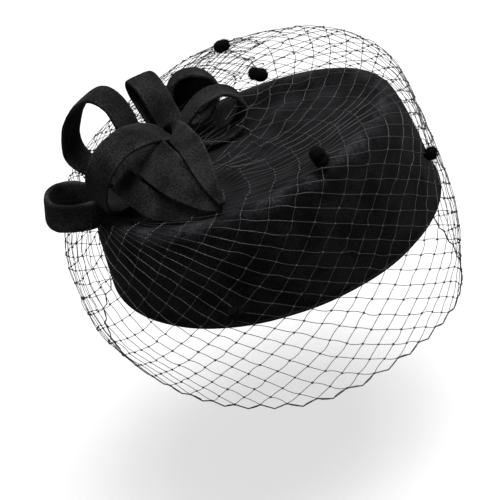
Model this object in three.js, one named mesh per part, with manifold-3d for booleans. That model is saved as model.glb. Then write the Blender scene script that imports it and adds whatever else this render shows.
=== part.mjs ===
// A black wool-felt pillbox hat with a felt bow and a dotted cage veil.
// Millimetres, +Z up along the crown. The origin is the middle of the head opening, in the plane of the rim.
// +X is the hat's right side as seen from the front, and the front faces -Y.
import * as THREE from "three";
import { mergeVertices } from "three/addons/utils/BufferGeometryUtils.js";
import Module from "manifold-3d";

const wasm = await Module();
wasm.setup();

// Driving sizes, mm.
const RIM_HALF_ACROSS = 90;
const RIM_HALF_DEEP = 82;
const LIP_HALF_ACROSS = 81.5;
const LIP_HALF_DEEP = 74;
const LIP_SHIFT_X = -2.5;
const LIP_SHIFT_Y = -4.3;
const CROWN_HEIGHT = 53.7;
const RISE_TO_RIGHT = 8.2;
const DROP_TO_BACK = 6.8;
const CROWN_WALL = 2.5;
const VEIL_WALL = 1.2;
const BAND_THICK = 2.8;
const LEAF_THICK = 2.2;
const GAP = 0.4;

// How finely the round forms are cut.
const CROWN_SIDES = 56;
const VEIL_SIDES = 56;
const VEIL_RINGS = 17;
const LOOP_STEPS = 28;
const LEAF_STEPS = 12;
const HEART_DETAIL = 3;
const DOT_DETAIL = 2;
const MERGE_WITHIN = 1e-3;

const TURN = 2 * Math.PI;

// One matt finish in each piece's own black.
const finish = (color) => new THREE.MeshStandardMaterial({ color, roughness: 0.95, metalness: 0 });
const FELT_CROWN = 0x17171a;
const FELT_BOW = 0x1e1e20;
const NET = 0x101012;
const CHENILLE = 0x0a0a0b;

// ---------------------------------------------------------------- closed solids

// Turns a triangle list over shared points into a manifold solid.
function solidFrom(points, triangles) {
  const geometry = new THREE.BufferGeometry();
  const flat = points.flatMap((p) => [p.x, p.y, p.z]);
  geometry.setAttribute("position", new THREE.Float32BufferAttribute(flat, 3));
  geometry.setIndex(triangles.flat());
  return solidOf(geometry);
}

function solidOf(source) {
  const geometry = source.clone();
  geometry.deleteAttribute("normal");
  geometry.deleteAttribute("uv");
  const merged = mergeVertices(geometry, MERGE_WITHIN);
  return new wasm.Manifold(
    new wasm.Mesh({
      numProp: 3,
      vertProperties: merged.attributes.position.array,
      triVerts: new Uint32Array(merged.index.array),
    }),
  );
}

// The largest body of a solid, as a geometry. Slivers that a cut leaves are dropped.
function geometryOf(solid) {
  const bodies = solid.decompose().sort((a, b) => b.volume() - a.volume());
  const mesh = bodies[0].getMesh();
  const geometry = new THREE.BufferGeometry();
  geometry.setAttribute("position", new THREE.BufferAttribute(mesh.vertProperties, 3));
  geometry.setIndex(new THREE.BufferAttribute(mesh.triVerts, 1));
  return geometry;
}

// Faces between the rings of a closed net of points; ring k runs round once.
function ringFaces(rings, sides, first = 0) {
  const faces = [];
  for (let ring = 0; ring < rings - 1; ring++) {
    for (let i = 0; i < sides; i++) {
      const a = first + ring * sides + i;
      const b = first + ring * sides + ((i + 1) % sides);
      faces.push([a, b, b + sides], [a, b + sides, a + sides]);
    }
  }
  return faces;
}

// A dome: rings of points from its open edge up to the last ring, closed by one point at the pole.
// A wall of the given thickness lies inside it, or it is filled down to its edge when wall is 0.
function dome(rings, pole, wall) {
  const sides = rings[0].length;
  const outer = rings.flat();
  const top = outer.length;
  const points = [...outer, pole];
  const faces = ringFaces(rings.length, sides);
  const lastRing = (rings.length - 1) * sides;
  for (let i = 0; i < sides; i++) faces.push([lastRing + i, lastRing + ((i + 1) % sides), top]);
  if (!wall) {
    const middle = rings[0].reduce((sum, p) => sum.add(p), new THREE.Vector3()).divideScalar(sides);
    points.push(middle);
    for (let i = 0; i < sides; i++) faces.push([(i + 1) % sides, i, top + 1]);
    return solidFrom(points, faces);
  }
  const inner = rings.map((ring, k) => ring.map((p, i) => inward(rings, pole, k, i, wall)));
  const start = points.length;
  points.push(...inner.flat(), pole.clone().add(new THREE.Vector3(0, 0, -wall)));
  const bottom = start + outer.length;
  for (const [a, b, c] of ringFaces(rings.length, sides, start)) faces.push([a, c, b]);
  for (let i = 0; i < sides; i++) {
    const next = (i + 1) % sides;
    faces.push([start + lastRing + next, start + lastRing + i, bottom]);
    faces.push([i, start + next, next], [i, start + i, start + next]);
  }
  return solidFrom(points, faces);
}

// The point of a dome's surface moved inwards, square to the surface. The open edge stays level.
function inward(rings, pole, k, i, wall) {
  const sides = rings[0].length;
  const along = new THREE.Vector3().subVectors(
    k + 1 < rings.length ? rings[k + 1][i] : pole,
    rings[Math.max(k - 1, 0)][i],
  );
  const round = new THREE.Vector3().subVectors(rings[k][(i + 1) % sides], rings[k][(i + sides - 1) % sides]);
  const normal = new THREE.Vector3().crossVectors(round, along).normalize();
  if (k === 0) normal.setZ(0).normalize();
  return rings[k][i].clone().addScaledVector(normal, -wall);
}

// ---------------------------------------------------------------- crown

// Height of the lip's crest round the crown: higher at the right, lower at the back.
const lipHeight = (turn) => CROWN_HEIGHT + RISE_TO_RIGHT * Math.cos(turn) - DROP_TO_BACK * Math.sin(turn);

// The felt's outer profile, from the rim over the raised lip to the sunken tip.
// blend: 0 at the rim's oval, 1 at the lip's. rise: share of the lip's height. out and down in mm.
const CROWN_PROFILE = [
  { blend: 0, rise: 0, out: -0.5, down: 0 },
  { blend: 0, rise: 0, out: 0, down: -1.2 },
  { blend: 0.2, rise: 0.22, out: 0.5, down: 0 },
  { blend: 0.45, rise: 0.46, out: 0.9, down: 0 },
  { blend: 0.7, rise: 0.7, out: 0.9, down: 0 },
  { blend: 0.9, rise: 0.86, out: 0.5, down: 0 },
  { blend: 1, rise: 1, out: -0.4, down: 3.4 },
  { blend: 1, rise: 1, out: -2.8, down: 0.9 },
  { blend: 1, rise: 1, out: -6.2, down: 0 },
  { blend: 1, rise: 1, out: -10, down: 0.8 },
  { blend: 1, rise: 1, out: -13.4, down: 3 },
  { blend: 1, rise: 1, out: -17, down: 5.4 },
  { blend: 1, rise: 1, out: -23, down: 6.6 },
  { blend: 1, rise: 1, out: -48, down: 7.2 },
];
const TIP_SUNK = 7.4;
// Inside this half width the tip is level, and over the next stretch it takes up the lip's slope.
const TIP_LEVEL = 20;
const TIP_SLOPE_OVER = 40;

function crownRings() {
  return CROWN_PROFILE.map(({ blend, rise, out, down }) =>
    Array.from({ length: CROWN_SIDES }, (_, i) => {
      const turn = (i / CROWN_SIDES) * TURN;
      const across = THREE.MathUtils.lerp(RIM_HALF_ACROSS, LIP_HALF_ACROSS, blend) + out;
      const deep = THREE.MathUtils.lerp(RIM_HALF_DEEP, LIP_HALF_DEEP, blend) + out;
      const spread = Math.min(1, Math.max(0, (across - TIP_LEVEL) / TIP_SLOPE_OVER));
      const height = THREE.MathUtils.lerp(CROWN_HEIGHT, lipHeight(turn), spread);
      return new THREE.Vector3(
        across * Math.cos(turn) + LIP_SHIFT_X * blend,
        deep * Math.sin(turn) + LIP_SHIFT_Y * blend,
        height * rise - down,
      );
    }),
  );
}

const crownPole = new THREE.Vector3(LIP_SHIFT_X, LIP_SHIFT_Y, CROWN_HEIGHT - TIP_SUNK);

// ---------------------------------------------------------------- veil

// The veil's outer form, a row for each eighth of a turn, counted from the right side to the back.
// puff: height over the tip. lift and lip: above and outside the lip. middle, rim: outside the rim's
// oval at half height and just below the rim. hem: outside it at the hem. low: height of the hem.
const VEIL_TABLE = [
  { puff: 6, lift: 1, lip: 3, middle: 1.5, rim: 5, hem: -1, low: -49 },
  { puff: 13, lift: 15, lip: 12, middle: 24, rim: 20, hem: 0, low: -24 },
  { puff: 20, lift: 21, lip: 18, middle: 28, rim: 24, hem: 13, low: -6 },
  { puff: 10, lift: 6, lip: 27, middle: 24, rim: 28, hem: 10, low: -22 },
  { puff: 3.5, lift: 1, lip: 4, middle: 16, rim: 19, hem: 12, low: -24 },
  { puff: 3.5, lift: 1, lip: 3, middle: 9, rim: 17, hem: 10, low: -37 },
  { puff: 4, lift: 1, lip: 3, middle: 6, rim: 11, hem: 20, low: -39 },
  { puff: 4, lift: 1, lip: 3, middle: 5, rim: 14, hem: 9, low: -43 },
];
const VEIL_TIP_SHARE = 0.55;
const VEIL_TIP_DOWN = 5;
const VEIL_MIDDLE_Z = 24;
const VEIL_RIM_Z = -6;
const VEIL_MIDDLE_SHIFT = 0.4;
const VEIL_POLE_PUFF = 0.6;

// A smooth closed curve through one column of the table, at a share of the whole turn.
function roundTable(table, column, share) {
  const count = table.length;
  const at = share * count;
  const row = Math.floor(at);
  const [a, b, c, d] = [-1, 0, 1, 2].map((step) => table[(row + step + count) % count][column]);
  const t = at - row;
  const square = (2 * a - 5 * b + 4 * c - d) * t ** 2;
  const cube = (3 * b - a - 3 * c + d) * t ** 3;
  return (2 * b + (c - a) * t + square + cube) * 0.5;
}

// One meridian of the veil, from the hem up over the lip to the middle of the tip.
function veilMeridian(share, clear) {
  const turn = share * TURN;
  const form = (column) => roundTable(VEIL_TABLE, column, share);
  const place = (across, deep, z, shift) =>
    new THREE.Vector3(
      (across + clear) * Math.cos(turn) + LIP_SHIFT_X * shift,
      (deep + clear) * Math.sin(turn) + LIP_SHIFT_Y * shift,
      z,
    );
  const rim = (out, z, shift) => place(RIM_HALF_ACROSS + out, RIM_HALF_DEEP + out, z, shift);
  const lip = lipHeight(turn);
  const tipHeight = THREE.MathUtils.lerp(CROWN_HEIGHT, lip, VEIL_TIP_SHARE) - VEIL_TIP_DOWN;
  return new THREE.CatmullRomCurve3([
    rim(form("hem"), form("low"), 0),
    rim(form("rim"), VEIL_RIM_Z, 0),
    rim(form("middle"), VEIL_MIDDLE_Z, VEIL_MIDDLE_SHIFT),
    place(LIP_HALF_ACROSS + form("lip"), LIP_HALF_DEEP + form("lip"), lip + form("lift") + clear, 1),
    place(
      LIP_HALF_ACROSS * VEIL_TIP_SHARE,
      LIP_HALF_DEEP * VEIL_TIP_SHARE,
      tipHeight + form("puff") + clear,
      1,
    ),
    veilPole(clear),
  ]);
}

function veilPole(clear) {
  const puff = VEIL_TABLE.reduce((sum, row) => sum + row.puff, 0) / VEIL_TABLE.length;
  return new THREE.Vector3(LIP_SHIFT_X, LIP_SHIFT_Y, CROWN_HEIGHT - TIP_SUNK + VEIL_POLE_PUFF * puff + clear);
}

// The veil's rings; clear moves them outwards, for a form that the bow is kept off.
function veilRings(clear = 0) {
  const meridians = Array.from({ length: VEIL_SIDES }, (_, i) => veilMeridian(i / VEIL_SIDES, clear));
  return Array.from({ length: VEIL_RINGS }, (_, k) => meridians.map((m) => m.getPoint(k / VEIL_RINGS)));
}

// ---------------------------------------------------------------- felt bow

// How far a strip's edges are cut back, as shares of its half thickness and half width.
const SOFT_THICK = 0.6;
const SOFT_WIDE = 0.5;

// A strip of felt swept through stations of centre, width direction and width, with soft edges.
function strip(stations, thickness, closed) {
  const points = [];
  const count = stations.length;
  stations.forEach(({ centre, wide, width }, k) => {
    const before = stations[closed ? (k + count - 1) % count : Math.max(k - 1, 0)].centre;
    const after = stations[closed ? (k + 1) % count : Math.min(k + 1, count - 1)].centre;
    const along = new THREE.Vector3().subVectors(after, before).normalize();
    const side = wide.clone().addScaledVector(along, -wide.dot(along)).normalize();
    const up = new THREE.Vector3().crossVectors(side, along);
    const halfWidth = width / 2;
    const halfThick = thickness / 2;
    const soft = Math.min(halfThick * SOFT_THICK, halfWidth * SOFT_WIDE);
    const corners = [
      [halfWidth - soft, -halfThick],
      [halfWidth, -halfThick + soft],
      [halfWidth, halfThick - soft],
      [halfWidth - soft, halfThick],
      [-halfWidth + soft, halfThick],
      [-halfWidth, halfThick - soft],
      [-halfWidth, -halfThick + soft],
      [-halfWidth + soft, -halfThick],
    ];
    for (const [w, t] of corners) {
      points.push(centre.clone().addScaledVector(side, w).addScaledVector(up, t));
    }
  });
  const sides = 8;
  const faces = ringFaces(count, sides);
  const last = (count - 1) * sides;
  for (let i = 0; i < sides; i++) {
    const next = (i + 1) % sides;
    if (closed) faces.push([last + i, last + next, next], [last + i, next, i]);
    else if (i > 0 && i < sides - 1) faces.push([0, i + 1, i], [last, last + i, last + i + 1]);
  }
  const made = solidFrom(points, faces);
  return made.volume() < 0 ? solidFrom(points, faces.map(([a, b, c]) => [a, c, b])) : made;
}

// The six loops. root: where the loop is sewn down. far: its far end. edge: the way its width runs.
// open: its widest gap. width: of the felt. full: 0 is pinched at the root, 1 is an oval.
const LOOPS = [
  {
    name: "loop_left",
    root: [-72.6, -6.9, 45.3],
    far: [-105.6, -1.1, 55.1],
    edge: [0.29, 0.08, 0.95],
    open: 34,
    width: 15,
    full: 0.4,
  },
  {
    name: "loop_back_left",
    root: [-54, 14.4, 51.4],
    far: [-80.2, 37.4, 79.7],
    edge: [0.7, 0.67, -0.17],
    open: 60,
    width: 16,
    full: 0.3,
  },
  {
    name: "loop_top",
    root: [-33.4, 21.1, 59],
    far: [-42.2, 43.1, 85.7],
    edge: [0.85, 0.5, -0.15],
    open: 12,
    width: 16,
    full: 0.4,
  },
  {
    name: "loop_back",
    root: [-23.1, 43.8, 51.2],
    far: [-13.8, 48.2, 75.8],
    edge: [0.23, -0.76, 0.6],
    open: 28,
    width: 13,
    full: 0.7,
  },
  {
    name: "loop_right",
    root: [-29.3, 23.6, 55.5],
    far: [4.9, 28.8, 61.3],
    edge: [0.29, -0.95, 0.02],
    open: 28,
    width: 14,
    full: 0.7,
  },
  {
    name: "loop_front",
    root: [-36.4, -1.8, 69.5],
    far: [-74.9, -31.3, 72.8],
    edge: [0.34, -0.8, -0.46],
    open: 50,
    width: 15,
    full: 0.45,
  },
];

// How much more a pinched loop swells at its far end.
const LOOP_SWELL = 1.25;

const vector = (list) => new THREE.Vector3(...list);

function loopStations({ root, far, edge, open, width, full }) {
  const start = vector(root);
  const reach = vector(far).sub(start);
  const length = reach.length();
  reach.normalize();
  const wide = vector(edge);
  wide.addScaledVector(reach, -wide.dot(reach)).normalize();
  const across = new THREE.Vector3().crossVectors(wide, reach);
  return Array.from({ length: LOOP_STEPS }, (_, k) => {
    const turn = (k / LOOP_STEPS) * TURN;
    const along = (1 - Math.cos(turn)) / 2;
    const swell = Math.sin(turn) * (full + LOOP_SWELL * (1 - full) * along);
    const centre = start.clone().addScaledVector(reach, length * along);
    centre.addScaledVector(across, (open / 2) * swell);
    return { centre, wide, width };
  });
}

// The pointed leaf: three strips that fan out from one point. A row is a section: its middle and width.
const LEAF_FACING = [0, -0.86, 0.51];
const LEAF = {
  leaf_upper: [
    { x: -33, y: 4, z: 68, width: 11 },
    { x: -31, y: -8, z: 75.5, width: 12 },
    { x: -27.1, y: -27, z: 80, width: 12.5 },
    { x: -24, y: -42, z: 78.5, width: 12 },
    { x: -22.1, y: -56.3, z: 72, width: 8.5 },
    { x: -19.2, y: -69.3, z: 64.2, width: 3 },
  ],
  leaf_middle: [
    { x: -45.4, y: -25.7, z: 76, width: 21 },
    { x: -38.7, y: -40.8, z: 72.1, width: 19 },
    { x: -32.9, y: -52.5, z: 68.1, width: 14.5 },
    { x: -26.2, y: -62.1, z: 63.9, width: 9 },
    { x: -19.9, y: -67.5, z: 60.9, width: 3 },
  ],
  leaf_lower: [
    { x: -63.4, y: -21.5, z: 67.5, width: 13 },
    { x: -57.6, y: -34.5, z: 64, width: 13 },
    { x: -50.4, y: -45.2, z: 60.5, width: 13 },
    { x: -40.8, y: -53, z: 58.4, width: 11.5 },
    { x: -30, y: -60, z: 57.8, width: 7.5 },
    { x: -20.2, y: -65.3, z: 57.4, width: 3 },
  ],
};

function leafStations(rows) {
  const middle = new THREE.CatmullRomCurve3(rows.map(({ x, y, z }) => new THREE.Vector3(x, y, z)));
  const facing = vector(LEAF_FACING);
  return Array.from({ length: LEAF_STEPS + 1 }, (_, k) => {
    const t = k / LEAF_STEPS;
    const at = t * (rows.length - 1);
    const row = Math.min(Math.floor(at), rows.length - 2);
    const width = THREE.MathUtils.lerp(rows[row].width, rows[row + 1].width, at - row);
    const centre = middle.getPoint(t);
    const wide = new THREE.Vector3().crossVectors(middle.getTangent(t), facing).normalize();
    return { centre, wide, width };
  });
}

// The gathered heart of the bow, where the strips' ends are drawn together.
const HEART = { x: -52, y: 6, z: 56, across: 26, deep: 17, high: 15, lean: 0.5 };
const HEART_PLEATS = 9;
const HEART_PLEAT_DEEP = 0.08;

function heartSolid() {
  const geometry = new THREE.IcosahedronGeometry(1, HEART_DETAIL);
  const place = geometry.attributes.position;
  const p = new THREE.Vector3();
  for (let i = 0; i < place.count; i++) {
    p.fromBufferAttribute(place, i);
    const pleat = 1 + HEART_PLEAT_DEEP * Math.cos(HEART_PLEATS * Math.atan2(p.y, p.x));
    place.setXYZ(i, p.x * HEART.across * pleat, p.y * HEART.deep * pleat, p.z * HEART.high);
  }
  geometry.rotateZ(HEART.lean);
  geometry.translate(HEART.x, HEART.y, HEART.z);
  return solidOf(geometry);
}

// ---------------------------------------------------------------- chenille dots

// share: where round the veil, from the right side to the back. up: 0 at the hem, 1 at the middle of the tip.
const DOTS = [
  { name: "dot_front_low", share: 0.705, up: 0.37, size: 4.2 },
  { name: "dot_front_lip", share: 0.82, up: 0.68, size: 5 },
  { name: "dot_right", share: 0.928, up: 0.45, size: 3.6 },
  { name: "dot_back", share: 0.18, up: 0.81, size: 4.8 },
  { name: "dot_back_high", share: 0.235, up: 0.7, size: 4.4 },
];
const DOT_SQUASH = 0.85;

function dotSolid({ share, up, size }) {
  const meridian = veilMeridian(share, size + GAP);
  const middle = meridian.getPoint(up);
  const geometry = new THREE.IcosahedronGeometry(size, DOT_DETAIL);
  geometry.scale(1, 1, DOT_SQUASH);
  geometry.translate(middle.x, middle.y, middle.z);
  return solidOf(geometry);
}

// ---------------------------------------------------------------- the hat

const hat = new THREE.Group();

function add(name, solid, color) {
  const mesh = new THREE.Mesh(geometryOf(solid), finish(color));
  mesh.name = name;
  hat.add(mesh);
}

add("crown", dome(crownRings(), crownPole, CROWN_WALL), FELT_CROWN);
add("veil", dome(veilRings(), veilPole(0), VEIL_WALL), NET);

// The dots and everything of the bow lie on the veil. Each bow piece is cut clear of those laid before it.
const underVeil = dome(veilRings(GAP), veilPole(GAP), 0);
const laid = [];

function lay(name, solid, grown) {
  const cut = laid.reduce((rest, other) => rest.subtract(other), solid.subtract(underVeil));
  add(name, cut, FELT_BOW);
  laid.push(grown);
}

for (const loop of LOOPS) {
  const stations = loopStations(loop);
  const wider = stations.map((s) => ({ ...s, width: s.width + 2 * GAP }));
  lay(loop.name, strip(stations, BAND_THICK, true), strip(wider, BAND_THICK + 2 * GAP, true));
}
for (const [name, rows] of Object.entries(LEAF)) {
  const stations = leafStations(rows);
  const wider = stations.map((s) => ({ ...s, width: s.width + 2 * GAP }));
  lay(name, strip(stations, LEAF_THICK, false), strip(wider, LEAF_THICK + 2 * GAP, false));
}
lay("bow_heart", heartSolid(), heartSolid());
for (const dot of DOTS) add(dot.name, dotSolid(dot).subtract(underVeil), CHENILLE);

export default hat;
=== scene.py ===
# %% [markdown]
# # A black felt pillbox hat with a bow and a cage veil
# The hat is blocked wool felt: one oval cap with a raised lip and a sunken tip. A bow of felt strips sits
# on its left, and a knotted net with chenille dots covers it and hangs below the rim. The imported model
# gives every place and size, and this file makes the surfaces that the eye sees.

import math

import bpy
import numpy as np
from mathutils import Matrix, Vector, noise


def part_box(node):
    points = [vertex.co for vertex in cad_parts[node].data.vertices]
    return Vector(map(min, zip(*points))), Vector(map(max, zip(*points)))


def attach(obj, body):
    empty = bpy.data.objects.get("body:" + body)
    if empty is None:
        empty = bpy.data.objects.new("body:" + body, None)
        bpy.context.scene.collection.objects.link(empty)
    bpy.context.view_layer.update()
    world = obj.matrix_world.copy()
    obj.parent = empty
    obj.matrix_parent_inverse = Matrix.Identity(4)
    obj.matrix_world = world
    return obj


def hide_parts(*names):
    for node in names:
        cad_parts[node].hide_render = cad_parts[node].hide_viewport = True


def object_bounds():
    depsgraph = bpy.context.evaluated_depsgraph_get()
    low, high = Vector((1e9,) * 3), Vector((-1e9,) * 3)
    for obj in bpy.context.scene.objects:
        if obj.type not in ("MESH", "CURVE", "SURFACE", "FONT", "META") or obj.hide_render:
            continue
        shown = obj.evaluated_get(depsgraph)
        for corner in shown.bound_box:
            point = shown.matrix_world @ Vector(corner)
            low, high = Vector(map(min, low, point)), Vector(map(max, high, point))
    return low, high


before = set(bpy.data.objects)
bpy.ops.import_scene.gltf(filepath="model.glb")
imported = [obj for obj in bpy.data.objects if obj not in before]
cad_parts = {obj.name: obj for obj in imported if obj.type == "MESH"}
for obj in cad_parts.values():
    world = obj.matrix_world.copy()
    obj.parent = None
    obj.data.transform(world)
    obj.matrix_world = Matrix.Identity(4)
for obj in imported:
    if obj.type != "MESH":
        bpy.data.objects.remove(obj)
CAD_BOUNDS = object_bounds()
MM = 0.001
TURN = 2 * math.pi
print("CAD box, mm:", [[round(v / MM, 1) for v in corner] for corner in CAD_BOUNDS])

# %% [markdown]
# The hat hangs in the air as if a head held it, tipped to one side. The camera stands in front of it and
# looks down on it, and it is rolled, so that the rim climbs to the right. A long lens keeps the oval of
# the rim calm. The camera comes first, because each piece is judged through it.

# %% Camera
LENS = 94.6
VIEW_ELEVATION = math.radians(33.58)
VIEW_AZIMUTH = math.radians(1.57)
VIEW_ROLL = math.radians(19.66)
VIEW_DISTANCE = 660 * MM
AIM = Vector((-15.1, -36.6, 13.6)) * MM

camera_data = bpy.data.cameras.new("camera")
camera_data.lens = LENS
camera_data.clip_start = 0.01
camera = bpy.data.objects.new("camera", camera_data)
bpy.context.scene.collection.objects.link(camera)
bpy.context.scene.camera = camera

outward = Vector((
    math.sin(VIEW_AZIMUTH) * math.cos(VIEW_ELEVATION),
    -math.cos(VIEW_AZIMUTH) * math.cos(VIEW_ELEVATION),
    math.sin(VIEW_ELEVATION),
))
upright = outward.to_track_quat("Z", "Y").to_matrix().to_4x4()
place = Matrix.Translation(AIM + outward * VIEW_DISTANCE)
camera.matrix_world = place @ upright @ Matrix.Rotation(-VIEW_ROLL, 4, "Z")
print("camera at, mm:", [round(v / MM) for v in camera.location])

# %% [markdown]
# The room is a photographer's white sweep. The floor lies a little below the veil's lowest point, so the
# hat keeps a soft shadow but touches nothing. Black felt needs a light that comes mostly from above: the
# tip and the lip then stand out from the side. A white floor would throw light back up and flatten that,
# so the floor is seen but is left out of what lights the hat, as black cards would do in a studio.

# %% Room and lights
FLOOR_BELOW = 98 * MM
FLOOR_SIZE = 8.0
# The paper is lit from below a little, more where the lights do not reach, so it stays one white.
FLOOR_GLOW = 0.62
FAR_GLOW = 0.86


def srgb(hex_text):
    """A colour typed as sRGB hex, as the linear values that Blender mixes."""
    parts = [int(hex_text[i:i + 2], 16) / 255 for i in (1, 3, 5)]
    return [p / 12.92 if p <= 0.04045 else ((p + 0.055) / 1.055) ** 2.4 for p in parts] + [1.0]


def add_node(tree, kind, links=None, **settings):
    """Adds a node, sets its properties and its named or numbered inputs, and links what is given."""
    node = tree.nodes.new(kind)
    for key, value in settings.items():
        if hasattr(node, key):
            setattr(node, key, value)
        else:
            node.inputs[key.replace("_", " ")].default_value = value
    for key, source in (links or {}).items():
        tree.links.new(source, node.inputs[key])
    return node


def new_material(name):
    """A material with an empty Principled shader, ready for its finish."""
    material = bpy.data.materials.new(name)
    material.use_nodes = True
    tree = material.node_tree
    shader = tree.nodes["Principled BSDF"]
    return material, tree, shader


floor_z = CAD_BOUNDS[0][2] - FLOOR_BELOW
bpy.ops.mesh.primitive_plane_add(size=FLOOR_SIZE, location=(0, 0, floor_z))
floor = bpy.context.object
floor.name = "floor"
floor.visible_diffuse = False
floor.visible_glossy = False
floor_material, floor_tree, floor_shader = new_material("white_sweep_paper")
floor_shader.inputs["Base Color"].default_value = srgb("#A6A6A6")
floor_shader.inputs["Emission Color"].default_value = srgb("#FFFFFF")
floor_shader.inputs["Roughness"].default_value = 0.9
spot = add_node(floor_tree, "ShaderNodeTexCoord")
far = add_node(floor_tree, "ShaderNodeVectorMath", {0: spot.outputs["Object"]}, operation="LENGTH")
glow = add_node(
    floor_tree, "ShaderNodeMapRange", {"Value": far.outputs["Value"]},
    **{"From_Min": 0.2, "From_Max": 1.6, "To_Min": FLOOR_GLOW, "To_Max": FAR_GLOW},
)
floor_tree.links.new(glow.outputs["Result"], floor_shader.inputs["Emission Strength"])
floor_shader.inputs["Specular IOR Level"].default_value = 0.1
floor.data.materials.append(floor_material)


def add_softbox(name, position, target, size, watts):
    """A square area light that looks at a point."""
    light_data = bpy.data.lights.new(name, "AREA")
    light_data.size = size
    light_data.energy = watts
    light = bpy.data.objects.new(name, light_data)
    light.location = position
    light.rotation_euler = (Vector(position) - Vector(target)).to_track_quat("Z", "Y").to_euler()
    bpy.context.scene.collection.objects.link(light)
    return light


HAT_MIDDLE = (0.0, 0.0, 0.02)
add_softbox("top_softbox", (0.42, -0.1, 1.5), HAT_MIDDLE, 0.8, 37)
add_softbox("front_softbox", (-0.9, -1.3, 0.9), HAT_MIDDLE, 0.7, 3.0)
add_softbox("rim_softbox", (1.2, 0.9, 0.6), HAT_MIDDLE, 0.7, 4.0)

world = bpy.data.worlds.new("white_room")
bpy.context.scene.world = world
world.use_nodes = True
room = world.node_tree
room.nodes.clear()
seen = add_node(room, "ShaderNodeBackground", Color=(1, 1, 1, 1), Strength=0.97)
lighting = add_node(room, "ShaderNodeBackground", Color=(1, 1, 1, 1), Strength=0.22)
ray = add_node(room, "ShaderNodeLightPath")
pick = add_node(room, "ShaderNodeMixShader", {0: ray.outputs["Is Camera Ray"]})
room.links.new(lighting.outputs[0], pick.inputs[1])
room.links.new(seen.outputs[0], pick.inputs[2])
add_node(room, "ShaderNodeOutputWorld", {"Surface": pick.outputs[0]})
bpy.context.scene.view_settings.view_transform = "Standard"
print("floor at, mm:", round(floor_z / MM, 1))

# %% [markdown]
# Wool felt is a mat of short curled fibres pressed together. It has no weave. The eye sees a dead matt
# black with a fine salt of lighter fibre ends, a slightly cloudy tone where the fibres lie differently,
# and a faint pale edge where fibres stand up against the light. Roughness near 1 and a soft sheen give
# the edge, and three noises give the cloud, the grain and the pits. Real fibre ends are 0.05 mm apart,
# too fine to show, so the grain is drawn at 0.85 mm. Along the crest of the lip and on the cut edges of
# the strips a highlight is painted in: a value that each mesh carries lifts the base colour there.

# %% Felt
FELT_GRAIN_MM = 0.85
FELT_CLOUD_MM = 14
FELT_FIBRE_MM = 1.1


def make_felt(name, dark, light, sheen, grain_bump, highlight_gain):
    """Black wool felt, blocked or cut in strips: matt, grained, with a soft sheen and a painted highlight where
    the mesh marks it.
    """
    material, tree, shader = new_material(name)
    where = add_node(tree, "ShaderNodeTexCoord")
    point = where.outputs["Object"]
    cloud = add_node(tree, "ShaderNodeTexNoise", {"Vector": point}, Scale=1 / (FELT_CLOUD_MM * MM), Detail=3.0)
    grain = add_node(tree, "ShaderNodeTexNoise", {"Vector": point}, Scale=1 / (FELT_GRAIN_MM * MM), Detail=2.0)
    fibre = add_node(
        tree, "ShaderNodeTexNoise", {"Vector": point},
        Scale=1 / (FELT_FIBRE_MM * MM), Detail=5.0, Distortion=1.2,
    )
    mix = add_node(
        tree, "ShaderNodeMath", {0: cloud.outputs["Fac"], 1: grain.outputs["Fac"]}, operation="MULTIPLY",
    )
    tone = add_node(tree, "ShaderNodeValToRGB", {"Fac": mix.outputs[0]})
    tone.color_ramp.elements[0].position = 0.18
    tone.color_ramp.elements[0].color = srgb(dark)
    tone.color_ramp.elements[1].position = 0.35
    tone.color_ramp.elements[1].color = srgb(light)
    # Painted highlight: the base colour is scaled up by 1 + gain times the mesh's value, on the lip's crest and
    # the strips' cut edges.
    edge = add_node(tree, "ShaderNodeAttribute", attribute_name="painted_highlight")
    gain = add_node(tree, "ShaderNodeMath", {0: edge.outputs["Fac"]}, operation="MULTIPLY_ADD")
    gain.inputs[1].default_value = highlight_gain
    gain.inputs[2].default_value = 1.0
    highlighted_tone = add_node(
        tree, "ShaderNodeVectorMath", {0: tone.outputs["Color"], "Scale": gain.outputs[0]}, operation="SCALE",
    )
    tree.links.new(highlighted_tone.outputs["Vector"], shader.inputs["Base Color"])
    rough = add_node(
        tree, "ShaderNodeMapRange", {"Value": fibre.outputs["Fac"]}, **{"To_Min": 0.86, "To_Max": 1.0},
    )
    tree.links.new(rough.outputs["Result"], shader.inputs["Roughness"])
    pits = add_node(
        tree, "ShaderNodeBump", {"Height": fibre.outputs["Fac"]}, Strength=grain_bump, Distance=0.25 * MM,
    )
    fine = add_node(
        tree, "ShaderNodeBump", {"Height": grain.outputs["Fac"], "Normal": pits.outputs["Normal"]},
        Strength=grain_bump, Distance=0.12 * MM,
    )
    tree.links.new(fine.outputs["Normal"], shader.inputs["Normal"])
    shader.inputs["Specular IOR Level"].default_value = 0.12
    shader.inputs["Sheen Weight"].default_value = sheen
    shader.inputs["Sheen Roughness"].default_value = 0.55
    shader.inputs["Sheen Tint"].default_value = srgb("#B9B9BE")
    return material


# The last number is how strongly the painted highlight lifts the tone: more on the crown's crest, less on the
# bow's cut edges.
crown_felt = make_felt("blocked_wool_felt", "#020203", "#19191B", 0.016, 1.0, 1.8)
bow_felt = make_felt("cut_wool_felt", "#060607", "#222223", 0.013, 1.0, 0.7)
print("felts:", crown_felt.name, bow_felt.name)

# %% [markdown]
# The net is nylon yarn, twisted and knotted, dyed black. Up close it is a smooth thread that shines a
# little along its length. Over black felt that shine is all that shows of it, and over white it is a
# thin dark line. Nylon's IOR is 1.53. The twist of the yarn is a fine wave along the thread, drawn at
# 0.6 mm in place of its real 0.2 mm.
#
# Chenille is a yarn with a deep cut pile. It drinks the light, so it is darker than the felt.

# %% Net and chenille
NYLON_IOR = 1.53
TWIST_MM = 0.6


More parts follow.
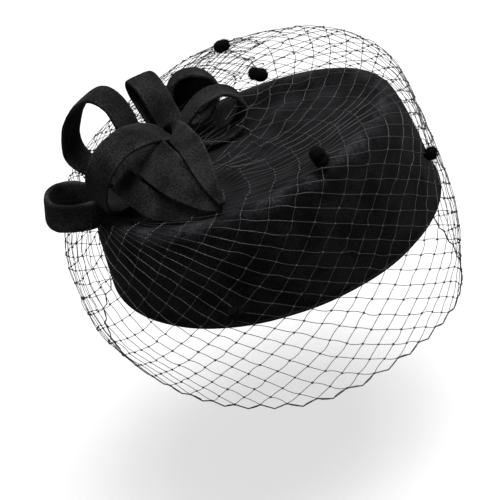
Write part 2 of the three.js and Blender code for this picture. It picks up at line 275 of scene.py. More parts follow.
def make_net(name, dark, light):
    """Knotted nylon yarn, dyed black: a smooth thread with a soft shine."""
    material, tree, shader = new_material(name)
    where = add_node(tree, "ShaderNodeTexCoord")
    twist = add_node(
        tree, "ShaderNodeTexNoise", {"Vector": where.outputs["Object"]}, Scale=1 / (TWIST_MM * MM), Detail=2.0,
    )
    tone = add_node(tree, "ShaderNodeValToRGB", {"Fac": twist.outputs["Fac"]})
    tone.color_ramp.elements[0].position = 0.35
    tone.color_ramp.elements[0].color = srgb(dark)
    tone.color_ramp.elements[1].position = 0.65
    tone.color_ramp.elements[1].color = srgb(light)
    tree.links.new(tone.outputs["Color"], shader.inputs["Base Color"])
    rough = add_node(
        tree, "ShaderNodeMapRange", {"Value": twist.outputs["Fac"]}, **{"To_Min": 0.34, "To_Max": 0.5},
    )
    tree.links.new(rough.outputs["Result"], shader.inputs["Roughness"])
    ridge = add_node(
        tree, "ShaderNodeBump", {"Height": twist.outputs["Fac"]}, Strength=0.4, Distance=0.05 * MM,
    )
    tree.links.new(ridge.outputs["Normal"], shader.inputs["Normal"])
    shader.inputs["IOR"].default_value = NYLON_IOR
    return material


def make_chenille(name):
    """Cut chenille pile: very dark, rough, its tone broken by a fine noise."""
    material, tree, shader = new_material(name)
    where = add_node(tree, "ShaderNodeTexCoord")
    pile = add_node(
        tree, "ShaderNodeTexNoise", {"Vector": where.outputs["Object"]}, Scale=1 / (0.8 * MM), Detail=3.0,
    )
    tone = add_node(tree, "ShaderNodeValToRGB", {"Fac": pile.outputs["Fac"]})
    tone.color_ramp.elements[0].position = 0.35
    tone.color_ramp.elements[0].color = srgb("#020203")
    tone.color_ramp.elements[1].position = 0.7
    tone.color_ramp.elements[1].color = srgb("#0C0C0D")
    tree.links.new(tone.outputs["Color"], shader.inputs["Base Color"])
    shader.inputs["Roughness"].default_value = 0.95
    shader.inputs["Specular IOR Level"].default_value = 0.05
    shader.inputs["Sheen Weight"].default_value = 0.008
    return material


net_yarn = make_net("knotted_nylon_yarn", "#19191B", "#28282B")
chenille = make_chenille("cut_chenille_pile")
print("net and dots:", net_yarn.name, chenille.name)

# %% [markdown]
# Every surface here is a grid of points that a formula lays out: rings round the crown, sections along a
# felt strip, sides round a thread. One helper turns such points into a mesh object, gives it a finish and
# hides the imported parts that it stands in for. A row with no joint has one body, root, and every piece rides on
# it.

# %% Mesh helpers


def make_piece(name, points, faces, material, replaced=(), painted_highlight=None):
    """A smooth mesh object from points in millimetres, riding on the hat."""
    mesh = bpy.data.meshes.new(name)
    mesh.from_pydata((np.asarray(points) * MM).tolist(), [], faces)
    mesh.validate()
    mesh.shade_smooth()
    mesh.materials.append(material)
    # The painted highlight's share at each point, which the felt adds to its tone.
    if painted_highlight is not None:
        mesh.attributes.new("painted_highlight", "FLOAT", "POINT").data.foreach_set("value", np.ravel(painted_highlight).astype(np.float32))
    piece = bpy.data.objects.new(name, mesh)
    bpy.context.scene.collection.objects.link(piece)
    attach(piece, "root")
    if replaced:
        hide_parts(*replaced)
    return piece


def ring_faces(rings, sides, closed=False, first=0):
    """Quads between rings of points, each ring closed round itself."""
    faces = []
    for k in range(rings if closed else rings - 1):
        low = first + k * sides
        high = first + ((k + 1) % rings) * sides
        for i in range(sides):
            j = (i + 1) % sides
            faces.append((low + i, low + j, high + j, high + i))
    return faces


def smooth_rows(table, at, closed):
    """Catmull-Rom values of a table's columns at fractional row numbers."""
    table = np.asarray(table, float)
    count = len(table)
    at = np.asarray(at, float)
    row = np.floor(at).astype(int)
    if not closed:
        row = np.clip(row, 0, count - 2)
    t = (at - row)[..., None]
    pick = [row - 1, row, row + 1, row + 2]
    pick = [p % count for p in pick] if closed else [np.clip(p, 0, count - 1) for p in pick]
    a, b, c, d = (table[p] for p in pick)
    return 0.5 * (2 * b + (c - a) * t + (2 * a - 5 * b + 4 * c - d) * t ** 2 + (3 * b - a - 3 * c + d) * t ** 3)


# Blender's noise vectors are shifted by the clock unless they are given a seed, and each run would differ.
NOISE_SEED = 7
noise.seed_set(NOISE_SEED)


def ripple(points, size, depth, seed):
    """A smooth push in three directions at each point, for hand-made unevenness."""
    shift = Vector((seed * 17.3, seed * 5.1, seed * 9.7))
    return np.array([noise.noise_vector(Vector(p) / size + shift) for p in np.asarray(points)]) * depth


# %% [markdown]
# The crown is one piece of felt, steamed and pulled over a wooden block. Its oval narrows a little
# towards the top, the lip is a soft roll, and the tip lies sunk inside it. A lathe can't make an oval that
# is higher on one side, so the profile is a short table that is swept round the oval, with the height of
# the lip rising to the right and falling to the back. The wall is 2.5 mm, and the cut rim is rounded.

# %% Crown
RIM_ACROSS, RIM_DEEP = (np.array(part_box("crown")[1]) / MM)[:2]
LIP_ACROSS, LIP_DEEP = RIM_ACROSS - 8.5, RIM_DEEP - 8
LIP_SHIFT = np.array([-2.5, -4.3])
CROWN_HEIGHT = 53.7
RISE_TO_RIGHT = 8.2
DROP_TO_BACK = 6.8
TIP_SUNK = 7.4
CROWN_WALL = 2.5
CROWN_SIDES = 220
CROWN_RINGS = 110
# Where the painted highlight runs along the lip's crest: this far inside the lip's oval, and how wide.
HIGHLIGHT_OUT = -5.0
HIGHLIGHT_WIDE = 3.2

# blend: 0 at the rim's oval, 1 at the lip's. rise: share of the lip's height. out, down: mm.
CROWN_PROFILE = [
    # blend rise out down
    (0.00, 0.00, -0.5, 0.0),
    (0.00, 0.00, 0.0, -1.2),
    (0.20, 0.22, 0.5, 0.0),
    (0.45, 0.46, 0.9, 0.0),
    (0.70, 0.70, 0.9, 0.0),
    (0.90, 0.86, 0.5, 0.0),
    (1.00, 1.00, -0.4, 3.4),
    (1.00, 1.00, -2.8, 0.9),
    (1.00, 1.00, -6.2, 0.0),
    (1.00, 1.00, -10.0, 0.8),
    (1.00, 1.00, -13.4, 3.0),
    (1.00, 1.00, -17.0, 5.4),
    (1.00, 1.00, -23.0, 6.6),
    (1.00, 1.00, -48.0, 7.2),
    (1.00, 1.00, -78.0, 7.4),
]


def lip_height(turn):
    return CROWN_HEIGHT + RISE_TO_RIGHT * np.cos(turn) - DROP_TO_BACK * np.sin(turn)


def crown_point(turn, profile):
    """A point of the felt's outer face from a turn round the oval and the profile's columns."""
    blend, rise, out, down = np.moveaxis(profile, -1, 0)
    across = RIM_ACROSS + (LIP_ACROSS - RIM_ACROSS) * blend + out
    deep = RIM_DEEP + (LIP_DEEP - RIM_DEEP) * blend + out
    deep = np.maximum(deep, 0.3)
    spread = np.clip((across - 20) / 40, 0, 1)
    height = CROWN_HEIGHT + (lip_height(turn) - CROWN_HEIGHT) * spread
    x = across * np.cos(turn) + LIP_SHIFT[0] * blend
    y = deep * np.sin(turn) + LIP_SHIFT[1] * blend
    return np.stack([x, y, height * rise - down], -1)


def grid_normals(grid):
    """Outward normals of a grid of rings, by its neighbours along and round."""
    along = np.gradient(grid, axis=0)
    round_ = np.roll(grid, -1, 1) - np.roll(grid, 1, 1)
    normal = np.cross(round_, along)
    return normal / np.maximum(np.linalg.norm(normal, axis=-1, keepdims=True), 1e-9)


def make_crown():
    """The felt cap: outer face, rounded rim and inner face in one closed skin."""
    turn = np.linspace(0, TURN, CROWN_SIDES, endpoint=False)
    rows = smooth_rows(CROWN_PROFILE, np.linspace(0, len(CROWN_PROFILE) - 1, CROWN_RINGS), closed=False)
    outer = crown_point(turn[None, :], rows[:, None, :])
    inner = outer - grid_normals(outer) * CROWN_WALL
    inner[0, :, 2] = outer[0, :, 2]
    outer += ripple(outer.reshape(-1, 3), 26, 0.35, 1).reshape(outer.shape) * [1, 1, 0.6]
    skin = np.concatenate([inner[::-1], outer])
    rings = len(skin)
    faces = ring_faces(rings, CROWN_SIDES)
    first, last = 0, (rings - 1) * CROWN_SIDES
    faces.append(tuple(first + i for i in reversed(range(CROWN_SIDES))))
    faces.append(tuple(last + i for i in range(CROWN_SIDES)))
    # A painted highlight in a band along the crest of the lip, on the outer face only.
    crest_highlight = np.exp(-((rows[:, 2] - HIGHLIGHT_OUT) / HIGHLIGHT_WIDE) ** 2) * (rows[:, 0] > 0.98)
    painted_highlight = np.repeat(np.concatenate([0 * crest_highlight, crest_highlight]), CROWN_SIDES)
    return make_piece("crown_felt", skin.reshape(-1, 3), faces, crown_felt, ["crown"], painted_highlight)


crown = make_crown()
print("crown:", len(crown.data.polygons), "faces")

# %% [markdown]
# Each loop of the bow is a strip of felt, folded double and bent round, with its ends drawn together at
# the heart. Felt is springy, so a loop is a round drop with one side pinched. The width of the strip runs
# along the loop's own axis. A sweep is the right tool: a soft-edged section carried along the drop. A
# little slow ripple makes the edges wander by a few tenths of a millimetre, as cut felt does.

# %% Felt strips
STRIP_THICK = 2.8
LEAF_THICK = 2.2
EDGE_ROUND = 0.95
STRIP_SIDES = 28
LOOP_STEPS = 120

# root: where it is sewn. far: its far end. edge: the way its width runs. full: 0 pinched, 1 oval.
LOOPS = {
    "loop_left": dict(root=(-72.6, -6.9, 45.3), far=(-105.6, -1.1, 55.1), edge=(0.29, 0.08, 0.95),
                      gap=34, width=15, full=0.4),
    "loop_back_left": dict(root=(-54, 14.4, 51.4), far=(-80.2, 37.4, 79.7), edge=(0.7, 0.67, -0.17),
                           gap=60, width=16, full=0.3),
    "loop_top": dict(root=(-33.4, 21.1, 59), far=(-42.2, 43.1, 85.7), edge=(0.85, 0.5, -0.15),
                     gap=12, width=16, full=0.4),
    "loop_back": dict(root=(-23.1, 43.8, 51.2), far=(-13.8, 48.2, 75.8), edge=(0.23, -0.76, 0.6),
                      gap=28, width=13, full=0.7),
    "loop_right": dict(root=(-29.3, 23.6, 55.5), far=(4.9, 28.8, 61.3), edge=(0.29, -0.95, 0.02),
                       gap=28, width=14, full=0.7),
    "loop_front": dict(root=(-36.4, -1.8, 69.5), far=(-74.9, -31.3, 72.8), edge=(0.34, -0.8, -0.46),
                       gap=50, width=15, full=0.45),
}


def unit(vectors):
    return vectors / np.maximum(np.linalg.norm(vectors, axis=-1, keepdims=True), 1e-9)


def strip_section(width, thick):
    """A flat section with rounded edges, as points across and through the felt."""
    turn = np.linspace(0, TURN, STRIP_SIDES, endpoint=False) + TURN / STRIP_SIDES / 2
    square = 0.16
    across = np.sign(np.cos(turn)) * np.abs(np.cos(turn)) ** (square * 2)
    through = np.sign(np.sin(turn)) * np.abs(np.sin(turn)) ** 0.55
    rounding = min(EDGE_ROUND, width / 2)
    flat = np.abs(across) * (width / 2 - rounding) + rounding * np.abs(np.cos(turn)) ** 0.6
    return np.sign(across) * flat, through * thick / 2


def sweep_strip(name, centre, wide, width, thick, closed, seed, replaced):
    """Carries the section along a centre line, with one width and width direction for each step."""
    if closed:
        along = unit(np.roll(centre, -1, 0) - np.roll(centre, 1, 0))
    else:
        along = unit(np.gradient(centre, axis=0))
    side = unit(wide - along * np.sum(wide * along, -1, keepdims=True))
    up = np.cross(side, along)
    rings = []
    painted_highlight = []
    for k in range(len(centre)):
        across, through = strip_section(width[k], thick)
        # The rounded cut edges get the painted highlight.
        painted_highlight.append(np.abs(across) > width[k] / 2 - EDGE_ROUND)
        rings.append(centre[k] + across[:, None] * side[k] + through[:, None] * up[k])
    skin = np.array(rings)
    flat = skin.reshape(-1, 3)
    skin = flat + ripple(flat, 9, 0.45, seed) + ripple(flat, 2.4, 0.12, seed + 3)
    faces = ring_faces(len(centre), STRIP_SIDES, closed)
    if not closed:
        last = (len(centre) - 1) * STRIP_SIDES
        faces.append(tuple(reversed(range(STRIP_SIDES))))
        faces.append(tuple(last + i for i in range(STRIP_SIDES)))
    return make_piece(name, skin, faces, bow_felt, replaced, painted_highlight)


def loop_centre(root, far, edge, gap, full):
    """The centre line of a drop-shaped loop and the direction of its width."""
    reach = far - root
    length = np.linalg.norm(reach)
    reach = reach / length
    wide = unit(edge - reach * np.dot(edge, reach))
    across = np.cross(wide, reach)
    turn = np.linspace(0, TURN, LOOP_STEPS, endpoint=False)
    along = (1 - np.cos(turn)) / 2
    swell = np.sin(turn) * (full + 1.25 * (1 - full) * along)
    return root + np.outer(length * along, reach) + np.outer(gap / 2 * swell, across), wide


def make_loop(name, root, far, edge, gap, width, full, seed):
    """One loop of the bow, a drop-shaped ring of doubled felt."""
    root, far, edge = (np.array(v, float) for v in (root, far, edge))
    centre, wide = loop_centre(root, far, edge, gap, full)
    widths = np.full(LOOP_STEPS, float(width))
    piece = sweep_strip(
        name + "_felt", centre, np.tile(wide, (LOOP_STEPS, 1)), widths, STRIP_THICK, True, seed, [name],
    )
    return piece


for number, (loop_name, loop) in enumerate(LOOPS.items()):
    make_loop(loop_name, seed=number + 2, **loop)

# %% [markdown]
# The loop at the back is not an open ring: the strip is folded so that a face of felt closes it
# behind, a little crumpled. A flat piece of felt with the loop's own outline, set at the rear edge of the
# band, gives that. It is laid out as rings that shrink to the loop's middle, front and back.

# %% Felt face behind the back loop
FACE_THICK = 1.8
FACE_SHARE = 0.9
FACE_BACK = 0.42
FACE_RINGS = 9
FACE_CRUMPLE = 1.2


def make_loop_face(name, loop, seed):
    """A felt face with a loop's outline, at the rear edge of its band."""
    root, far, edge = (np.array(loop[key], float) for key in ("root", "far", "edge"))
    centre, wide = loop_centre(root, far, edge, loop["gap"], loop["full"])
    middle = centre.mean(axis=0)
    rear = middle - wide * loop["width"] * FACE_BACK
    share = np.linspace(0.05, FACE_SHARE, FACE_RINGS)
    layer = rear + (centre - middle)[None] * share[:, None, None]
    crumple = ripple(layer.reshape(-1, 3), 7, FACE_CRUMPLE, seed).reshape(layer.shape)
    layer = layer + crumple * share[::-1, None, None]
    front = layer + wide * FACE_THICK / 2
    back = layer - wide * FACE_THICK / 2
    skin = np.concatenate([front, back[::-1]])
    faces = ring_faces(len(skin), LOOP_STEPS)
    last = (len(skin) - 1) * LOOP_STEPS
    faces.append(tuple(reversed(range(LOOP_STEPS))))
    faces.append(tuple(last + i for i in range(LOOP_STEPS)))
    piece = make_piece(name + "_face_felt", skin.reshape(-1, 3), faces, bow_felt)


make_loop_face("loop_back", LOOPS["loop_back"], seed=71)

# %% [markdown]
# In front of the loops three strips fan out and meet in one point, like a folded leaf. Each narrows
# towards the point, and each lies a little over the next, so a dark line shows between them.

# %% Pointed leaf
LEAF_STEPS = 70
LEAF_FACING = np.array([0, -0.86, 0.51])
# A row is a section: the middle of the strip and its width.
LEAF = {
    "leaf_upper": [
        (-33, 4, 68, 11), (-31, -8, 75.5, 12), (-27.1, -27, 80, 12.5),
        (-24, -42, 78.5, 12), (-22.1, -56.3, 72, 8.5), (-19.2, -69.3, 64.2, 3),
    ],
    "leaf_middle": [
        (-45.4, -25.7, 76, 21), (-38.7, -40.8, 72.1, 19), (-32.9, -52.5, 68.1, 14.5),
        (-26.2, -62.1, 63.9, 9), (-19.9, -67.5, 60.9, 3),
    ],
    "leaf_lower": [
        (-63.4, -21.5, 67.5, 13), (-57.6, -34.5, 64, 13), (-50.4, -45.2, 60.5, 13),
        (-40.8, -53, 58.4, 11.5), (-30, -60, 57.8, 7.5), (-20.2, -65.3, 57.4, 3),
    ],
}


def make_leaf_strip(name, rows, seed):
    """One strip of the leaf, turned to face out, narrowing to the point."""
    stations = smooth_rows(rows, np.linspace(0, len(rows) - 1, LEAF_STEPS), closed=False)
    centre, width = stations[:, :3], stations[:, 3]
    along = unit(np.gradient(centre, axis=0))
    wide = unit(np.cross(along, LEAF_FACING))
    piece = sweep_strip(name + "_felt", centre, wide, width, LEAF_THICK, False, seed, [name])
    return piece


for number, (leaf_name, rows) in enumerate(LEAF.items()):
    make_leaf_strip(leaf_name, rows, seed=number + 11)

# %% [markdown]
# The ends of all the strips are drawn together with a few stitches in the middle of the bow, where the
# felt crumples. Only glimpses of it show through the loops, so a round mass with radial pleats and a
# rough ripple is enough.

# %% Heart of the bow
HEART_MIDDLE = np.array([-52, 6, 56])
HEART_HALF = np.array([25, 16, 14])
HEART_LEAN = 0.5
HEART_PLEATS = 9


def make_heart():
    turn = np.linspace(0, TURN, 120, endpoint=False)
    rise = np.linspace(-math.pi / 2 + 0.02, math.pi / 2 - 0.02, 60)
    t, r = np.meshgrid(turn, rise)
    pleat = 1 + 0.1 * np.abs(np.sin(HEART_PLEATS * t / 2 + 1.5 * np.sin(2 * r))) * np.cos(r)
    x = np.cos(t) * np.cos(r) * pleat * HEART_HALF[0]
    y = np.sin(t) * np.cos(r) * pleat * HEART_HALF[1]
    z = np.sin(r) * HEART_HALF[2]
    c, s = math.cos(HEART_LEAN), math.sin(HEART_LEAN)
    grid = np.stack([x * c - y * s, x * s + y * c, z], -1) + HEART_MIDDLE
    skin = grid.reshape(-1, 3)
    skin = skin + ripple(skin, 7, 1.6, 21) + ripple(skin, 2.5, 0.5, 22)
    faces = ring_faces(len(rise), len(turn))
    last = (len(rise) - 1) * len(turn)
    faces.append(tuple(reversed(range(len(turn)))))
    faces.append(tuple(last + i for i in range(len(turn))))
    return make_piece("bow_heart_felt", skin, faces, bow_felt, ["bow_heart"])


heart = make_heart()

# %% [markdown]
# The veil is a net: threads run slantwise both ways and are knotted where they cross, so every side of
# every diamond has the same length, and the diamonds only shear. That is a Chebyshev net. It starts as an
# even zigzag at the hem and is walked up the veil's form, row by row: each knot goes where its two
# threads, of fixed length, just reach. Where the form draws in towards the bow, the diamonds grow narrow
# and tall by themselves, as a gathered veil does.
#
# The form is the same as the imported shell's: a table with a row for each eighth of a turn.

# %% Form of the veil
VEIL_COLUMNS = ("puff", "lift", "lip", "middle", "rim", "hem", "low")
VEIL_TABLE = [
    # puff lift lip middle rim hem low
    (6, 1, 3, 1.5, 5, -1, -49),
    (13, 15, 12, 24, 20, 0, -24),
    (20, 21, 18, 28, 24, 13, -6),
    (10, 6, 27, 24, 28, 10, -22),
    (3.5, 1, 4, 16, 19, 12, -24),
    (3.5, 1, 3, 9, 17, 10, -37),
    (4, 1, 3, 6, 11, 20, -39),
    (4, 1, 3, 5, 14, 9, -43),
]
VEIL_TIP_SHARE = 0.55
VEIL_TIP_DOWN = 5
VEIL_MIDDLE_Z = 24
VEIL_RIM_Z = -6
VEIL_MIDDLE_SHIFT = 0.4


def veil_point(turn, up):
    """The veil's outer face: turn round it, up from 0 at the hem to 1 at the middle of the tip."""
    turn, up = np.broadcast_arrays(np.asarray(turn, float), np.asarray(up, float))
    form = smooth_rows(VEIL_TABLE, (turn / TURN * len(VEIL_TABLE)) % len(VEIL_TABLE), closed=True)
    puff, lift, lip, middle, rim, hem, low = np.moveaxis(form, -1, 0)
    crest = lip_height(turn)
    cos, sin = np.cos(turn), np.sin(turn)

    def at(across, deep, z, shift):
        return np.stack([across * cos + LIP_SHIFT[0] * shift, deep * sin + LIP_SHIFT[1] * shift, z + 0 * cos], -1)

    tip = CROWN_HEIGHT + (crest - CROWN_HEIGHT) * VEIL_TIP_SHARE - VEIL_TIP_DOWN
    puffs = np.mean([row[0] for row in VEIL_TABLE])
    stations = np.stack([
        at(RIM_ACROSS + hem, RIM_DEEP + hem, low, 0),
        at(RIM_ACROSS + rim, RIM_DEEP + rim, VEIL_RIM_Z, 0),
        at(RIM_ACROSS + middle, RIM_DEEP + middle, VEIL_MIDDLE_Z, VEIL_MIDDLE_SHIFT),
        at(LIP_ACROSS + lip, LIP_DEEP + lip, crest + lift, 1),
        at(LIP_ACROSS * VEIL_TIP_SHARE, LIP_DEEP * VEIL_TIP_SHARE, tip + puff, 1),
        at(0, 0, CROWN_HEIGHT - TIP_SUNK + 0.6 * puffs, 1),
    ])
    place = np.clip(up, 0, 1) * 5
    row = np.clip(np.floor(place).astype(int), 0, 4)
    t = (place - row)[..., None]
    take = lambda k: np.take_along_axis(stations, np.clip(row + k, 0, 5)[None, ..., None], 0)[0]
    a, b, c, d = take(-1), take(0), take(1), take(2)
    a = np.where((row == 0)[..., None], 2 * b - c, a)
    d = np.where((row == 4)[..., None], 2 * c - b, d)
    return 0.5 * (2 * b + (c - a) * t + (2 * a - 5 * b + 4 * c - d) * t ** 2 + (3 * b - a - 3 * c + d) * t ** 3)


print("veil at the front hem, mm:", np.round(veil_point(0.75 * TURN, 0.0), 1).tolist())

# %% [markdown]
# The threads all end under the bow. On the disc of the veil's form, seen from above with the hem as its
# edge, the walk goes along straight lines from the hem to the gathers under the bow.

# %% Walk the net
DIAMONDS_ROUND = 48
THREAD_SIDE = 8.4
THREAD_RADIUS = 0.17
HEM_RADIUS = 0.34
KNOT_RADIUS = 0.58
HEM_ZIGZAG = 2.3
GATHER = np.array([-0.26, 0.0])
GATHER_HALF = np.array([0.15, 0.17])
# Above 1, the columns run straight up the wall and turn to the bow only on the tip.
LATE_PULL = 2.2
WALK_SAMPLES = 420
# The columns are evenly spaced at this height of the veil, from 0 at the hem.
EVEN_AT = 0.25
LEAST_RISE = 0.4
MOST_ROWS = 64


def disc_to_veil(disc):
    """A point of the unit disc on the veil; the disc's edge is the hem, its middle the tip's middle."""
    radius = np.linalg.norm(disc, axis=-1)
    turn = np.arctan2(disc[..., 1], disc[..., 0]) % TURN
    return veil_point(turn, 1 - radius)


def walk_net(columns, side, gather):
    """Rows of knots from the hem to the gather. Each row goes up by what the side and the spacing leave."""
    fine = np.linspace(0, TURN, 721)
    edge = veil_point(fine, EVEN_AT)
    gone = np.concatenate([[0], np.cumsum(np.linalg.norm(np.diff(edge, axis=0), axis=1))])
    turn = np.interp(np.arange(columns) / columns * gone[-1], gone, fine)
    hem = np.stack([np.cos(turn), np.sin(turn)], -1)
    share = np.linspace(0, 1, WALK_SAMPLES)
    ends = gather + hem * GATHER_HALF
    lines = hem[:, None] * (1 - share[None, :, None]) + ends[:, None] * share[None, :, None] ** LATE_PULL
    paths = disc_to_veil(lines)
    step = np.linalg.norm(np.diff(paths, axis=1), axis=-1)
    far = np.concatenate([np.zeros((columns, 1)), np.cumsum(step, 1)], 1)
    between = (np.roll(paths, -1, 0) - np.roll(paths, 1, 0)) / 2
    along = unit(np.gradient(paths, axis=1))
    between = between - along * np.sum(between * along, -1, keepdims=True)
    spacing = np.linalg.norm(between, axis=-1)
    rise = np.sqrt(np.maximum(side ** 2 - spacing ** 2, (LEAST_RISE * side) ** 2))
    place = {}
    height = np.zeros(columns)
    for j in range(MOST_ROWS):
        at = np.array([np.searchsorted(far[i], height[i]) for i in range(columns)])
        for i in range(j % 2, columns, 2):
            if at[i] < WALK_SAMPLES:
                place[(i, j)] = paths[i, at[i]]
        up = rise[np.arange(columns), np.minimum(at, WALK_SAMPLES - 1)]
        if j == 0:
            up = np.full(columns, HEM_ZIGZAG)
        height = height + (np.roll(up, 1) + 2 * up + np.roll(up, -1)) / 4
        height = 0.8 * height + 0.1 * (np.roll(height, 1) + np.roll(height, -1))
    return place


knots = walk_net(2 * DIAMONDS_ROUND, THREAD_SIDE, GATHER)
print("knots:", len(knots), "rows:", max(j for _, j in knots) + 1)

# %% [markdown]
# A real net isn't drawn with a ruler: some knots slip, threads are a little slack, and folds run through
# it. A slow ripple moves whole patches by a millimetre or two, and a fast one moves single knots by a few
# tenths. Then each thread becomes a thin tube with five sides, which is enough at half a millimetre.

# %% Threads and knots
TUBE_SIDES = 5
THREAD_STEPS = 3
KNOT_RINGS = 4
KNOT_SIDES = 6


def crown_clearance(points, least):
    """Pushes points out so that they stay at least this far above the felt, by the crown's own oval."""
    out = points.copy()
    over_tip = (points[:, 2] > 20)
    x = points[:, 0] - LIP_SHIFT[0] * np.clip(points[:, 2] / CROWN_HEIGHT, 0, 1)
    y = points[:, 1] - LIP_SHIFT[1] * np.clip(points[:, 2] / CROWN_HEIGHT, 0, 1)
    turn = np.arctan2(y / RIM_DEEP, x / RIM_ACROSS)
    crest = lip_height(turn)
    inside = np.hypot(x / (LIP_ACROSS - 6), y / (LIP_DEEP - 6))
    felt = np.where(inside < 0.78, crest * 0 + CROWN_HEIGHT - TIP_SUNK + (crest - CROWN_HEIGHT) * inside,
                    crest - 6.5 * np.clip((1 - inside) / 0.22, 0, 1) ** 1.2)
    hold = over_tip & (inside < 1.0)
    out[hold, 2] = np.maximum(out[hold, 2], felt[hold] + least)
    wall = RIM_ACROSS - 8.5 * np.clip(points[:, 2] / CROWN_HEIGHT, 0, 1) + 1.0 + least
    wall_deep = RIM_DEEP - 8 * np.clip(points[:, 2] / CROWN_HEIGHT, 0, 1) + 1.0 + least
    ratio = np.hypot(x / wall, y / wall_deep)
    side = (points[:, 2] > -1) & (points[:, 2] < crest - 2) & (ratio < 1) & (ratio > 0.9)
    push = np.where(side, 1 / np.maximum(ratio, 1e-3), 1.0)
    out[:, 0] += x * (push - 1)
    out[:, 1] += y * (push - 1)
    return out


# A dot is clamped round one knot, so the net rises into it a little.
DOT_NAMES = ("dot_front_low", "dot_front_lip", "dot_right", "dot_back", "dot_back_high")
DOT_PULL = 0.6
DOT_PULL_REACH = 10
# Beside the bow the net is crumpled, most at this place.
CRUMPLE_MIDDLE = np.array([-18, 8, 58])
CRUMPLE_REACH = 62
CRUMPLE = 9


def settle(place, seed, slow, fast):
    """Moves the knots by a slow and a fast ripple, more where the net is gathered."""
    keys = list(place)
    points = np.array([place[k] for k in keys])
    points = points + ripple(points, 38, slow, seed) + ripple(points, 6, fast, seed + 1)
    near = np.clip(1 - np.linalg.norm(points - CRUMPLE_MIDDLE, axis=1) / CRUMPLE_REACH, 0, 1)
    points = points + ripple(points, 9, CRUMPLE, seed + 2) * near[:, None]
    for name in DOT_NAMES:
        middle = np.mean([np.array(corner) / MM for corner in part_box(name)], axis=0)
        nearest = points[np.argmin(np.linalg.norm(points - middle, axis=1))]
        pull = np.exp(-(np.linalg.norm(points - nearest, axis=1) / DOT_PULL_REACH) ** 2)
        points = points + pull[:, None] * (middle - nearest) * DOT_PULL
    points = crown_clearance(points, 0.9)
    return dict(zip(keys, points))


def tube_mesh(lines, radii):
    """Thin tubes along many polylines, as points and faces of one mesh."""
    turn = np.linspace(0, TURN, TUBE_SIDES, endpoint=False)
    points, faces, count = [], [], 0
    for line, radius in zip(lines, radii):
        line = np.asarray(line)
        along = unit(np.gradient(line, axis=0))
        lean = np.where(np.abs(along[:, 2:3]) < 0.8, [[0.0, 0.0, 1.0]], [[1.0, 0.0, 0.0]])
        side = unit(np.cross(along, lean))
        up = np.cross(side, along)
        ring = np.cos(turn)[None, :, None] * side[:, None] + np.sin(turn)[None, :, None] * up[:, None]
        points.append((line[:, None] + ring * radius).reshape(-1, 3))
        faces.extend(ring_faces(len(line), TUBE_SIDES, first=count))
        count += len(line) * TUBE_SIDES
        faces.append(tuple(count - len(line) * TUBE_SIDES + i for i in reversed(range(TUBE_SIDES))))
        faces.append(tuple(count - TUBE_SIDES + i for i in range(TUBE_SIDES)))
    return np.concatenate(points), faces


def thread_lines(place, columns):
    """Both sets of slanting threads, each as one line through its knots."""
    lines, hem_lines = [], []
    for lean in (1, -1):
        starts = [k for k in place if ((k[0] - lean) % columns, k[1] - 1) not in place]
        for i, j in starts:
            run = []
            while (i % columns, j) in place:
                run.append(place[(i % columns, j)])
                i, j = i + lean, j + 1
            if len(run) > 1:
                lines.append(np.array(run))
    return lines


def slack_line(run, rng, slack=0.35):
    """Points between knots on a soft curve, with a little slack in each side of a diamond."""
    at = np.linspace(0, len(run) - 1, (len(run) - 1) * THREAD_STEPS + 1)
    curve = smooth_rows(run, at, closed=False)
    row = np.clip(np.floor(at).astype(int), 0, len(run) - 2)
    chord = run[row] + (run[row + 1] - run[row]) * (at - row)[:, None]
    line = 0.45 * curve + 0.55 * chord
    loose = rng.normal(0, slack, (len(run) - 1, 3))
    bow = np.sin((at - row) * math.pi)[:, None] * loose[row]
    return line + bow


def knot_mesh(points, radius, seed):
    """A small lumpy ball at each knot, all in one mesh."""
    rng = np.random.default_rng(seed)
    rise = np.linspace(-math.pi / 2, math.pi / 2, KNOT_RINGS + 2)[1:-1]
    turn = np.linspace(0, TURN, KNOT_SIDES, endpoint=False)
    r, t = np.meshgrid(rise, turn, indexing="ij")
    ball = np.stack([np.cos(t) * np.cos(r), np.sin(t) * np.cos(r), np.sin(r)], -1).reshape(-1, 3)
    verts, faces = [], []
    per = len(ball)
    for number, point in enumerate(points):
        size = radius * rng.uniform(0.8, 1.2, 3)
        verts.append(point + ball * size)
        base = number * per
        faces.extend(ring_faces(KNOT_RINGS, KNOT_SIDES, first=base))
        faces.append(tuple(base + i for i in reversed(range(KNOT_SIDES))))
        faces.append(tuple(base + per - KNOT_SIDES + i for i in range(KNOT_SIDES)))
    return np.concatenate(verts), faces


def make_net_pieces(name, place, columns, seed, replaced=()):
    """The threads and the knots of one layer of net, each one mesh."""
    rng = np.random.default_rng(seed)
    lines = [slack_line(run, rng) for run in thread_lines(place, columns)]
    points, faces = tube_mesh(lines, [THREAD_RADIUS] * len(lines))
    threads = make_piece(name + "_threads", points, faces, net_yarn, replaced)
    inner = [p for (i, j), p in place.items() if j > 0]
    points, faces = knot_mesh(inner, KNOT_RADIUS, seed)
    knots_piece = make_piece(name + "_knots", points, faces, net_yarn)
    print(name, "threads:", len(threads.data.polygons), "knots:", len(knots_piece.data.polygons), "faces")


COLUMNS = 2 * DIAMONDS_ROUND
# The doubled net at the top of the back: where it starts, how it is shifted and how much it is crumpled.
FOLD_FROM = np.array([22, 46, 40])
FOLD_MOVE = np.array([3.5, -5, -1.5])
FOLD_CRUMPLE = 5
veil_knots = settle(knots, seed=31, slow=1.6, fast=0.35)
make_net_pieces("veil", veil_knots, COLUMNS, seed=41, replaced=["veil"])

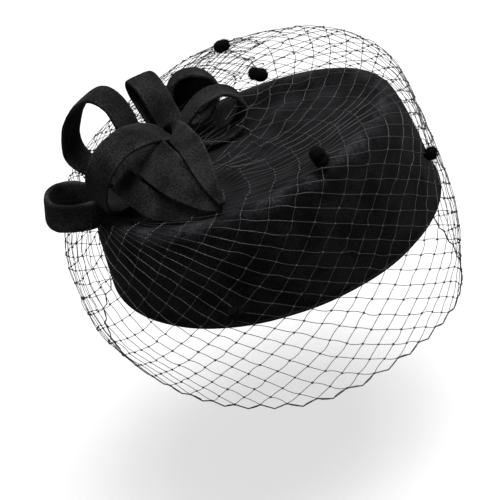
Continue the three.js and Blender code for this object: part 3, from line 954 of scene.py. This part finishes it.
fold = {}
for key, point in veil_knots.items():
    if point[0] < FOLD_FROM[0] and point[1] > FOLD_FROM[1] and point[2] > FOLD_FROM[2]:
        fold[key] = point
fold_points = np.array(list(fold.values()))
fold_points = fold_points + FOLD_MOVE + ripple(fold_points, 16, FOLD_CRUMPLE, 61)
fold = dict(zip(fold, crown_clearance(fold_points, 0.9)))
make_net_pieces("veil_fold", fold, COLUMNS, seed=43)

hem = [veil_knots[(i, i % 2)] for i in range(COLUMNS)]
hem_points, hem_faces = tube_mesh([np.array(hem + hem[:1])], [HEM_RADIUS])
make_piece("veil_hem", hem_points, hem_faces, net_yarn)

# %% [markdown]
# The dots are tufts of chenille clamped to the net here and there. Each is a lumpy core with a pile of
# short hairs that stand out all round. A hair is a narrow blade with two faces, which is plenty at this
# size, and a few hundred of them break the round outline.

# %% Chenille dots
HAIRS = 900
HAIR_LONG = 1.7
HAIR_WIDE = 0.22
CORE_RINGS = 18
CORE_SIDES = 28
# lobes: the middles of the tuft's lumps, in shares of its half size.
DOT_LOBES = {
    "dot_front_low": [(-0.22, 0, 0.08), (0.25, 0, -0.08)],
    "dot_front_lip": [(-0.1, 0, 0.35), (0.1, 0, -0.35)],
    "dot_right": [(0, 0, 0)],
    "dot_back": [(-0.32, 0, 0.2), (0.34, 0, -0.2)],
    "dot_back_high": [(-0.3, 0, 0.0), (0.3, 0, 0.05)],
}


def make_dot(name, lobes, seed):
    low, high = (np.array(c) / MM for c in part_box(name))
    middle, half = (low + high) / 2, float((high - low).max()) / 2
    rng = np.random.default_rng(seed)
    points, faces = [], []
    rise = np.linspace(-math.pi / 2, math.pi / 2, CORE_RINGS + 2)[1:-1]
    turn = np.linspace(0, TURN, CORE_SIDES, endpoint=False)
    r, t = np.meshgrid(rise, turn, indexing="ij")
    ball = np.stack([np.cos(t) * np.cos(r), np.sin(t) * np.cos(r), np.sin(r)], -1).reshape(-1, 3)
    size = half * (0.9 if len(lobes) == 1 else 0.74)
    for lobe in lobes:
        centre = middle + np.array(lobe) * half
        core = centre + ball * size
        core += ripple(core, 2.2, 0.6, seed)
        base = sum(len(p) for p in points)
        points.append(core)
        faces += ring_faces(CORE_RINGS, CORE_SIDES, first=base)
        faces.append(tuple(base + i for i in reversed(range(CORE_SIDES))))
        faces.append(tuple(base + len(ball) - CORE_SIDES + i for i in range(CORE_SIDES)))
        count = HAIRS // len(lobes)
        out = unit(rng.normal(size=(count, 3)))
        root = centre + out * size * 0.9
        lean = unit(out + rng.normal(0, 0.45, (count, 3)))
        side = unit(np.cross(lean, rng.normal(size=(count, 3)))) * HAIR_WIDE / 2
        tip = root + lean * HAIR_LONG * rng.uniform(0.5, 1.0, (count, 1))
        base = sum(len(p) for p in points)
        points.append(np.stack([root - side, root + side, tip], 1).reshape(-1, 3))
        faces += [(base + 3 * i, base + 3 * i + 1, base + 3 * i + 2) for i in range(count)]
    return make_piece(name + "_tuft", np.concatenate(points), faces, chenille, [name])


for number, (dot_name, lobes) in enumerate(DOT_LOBES.items()):
    make_dot(dot_name, lobes, seed=50 + number)
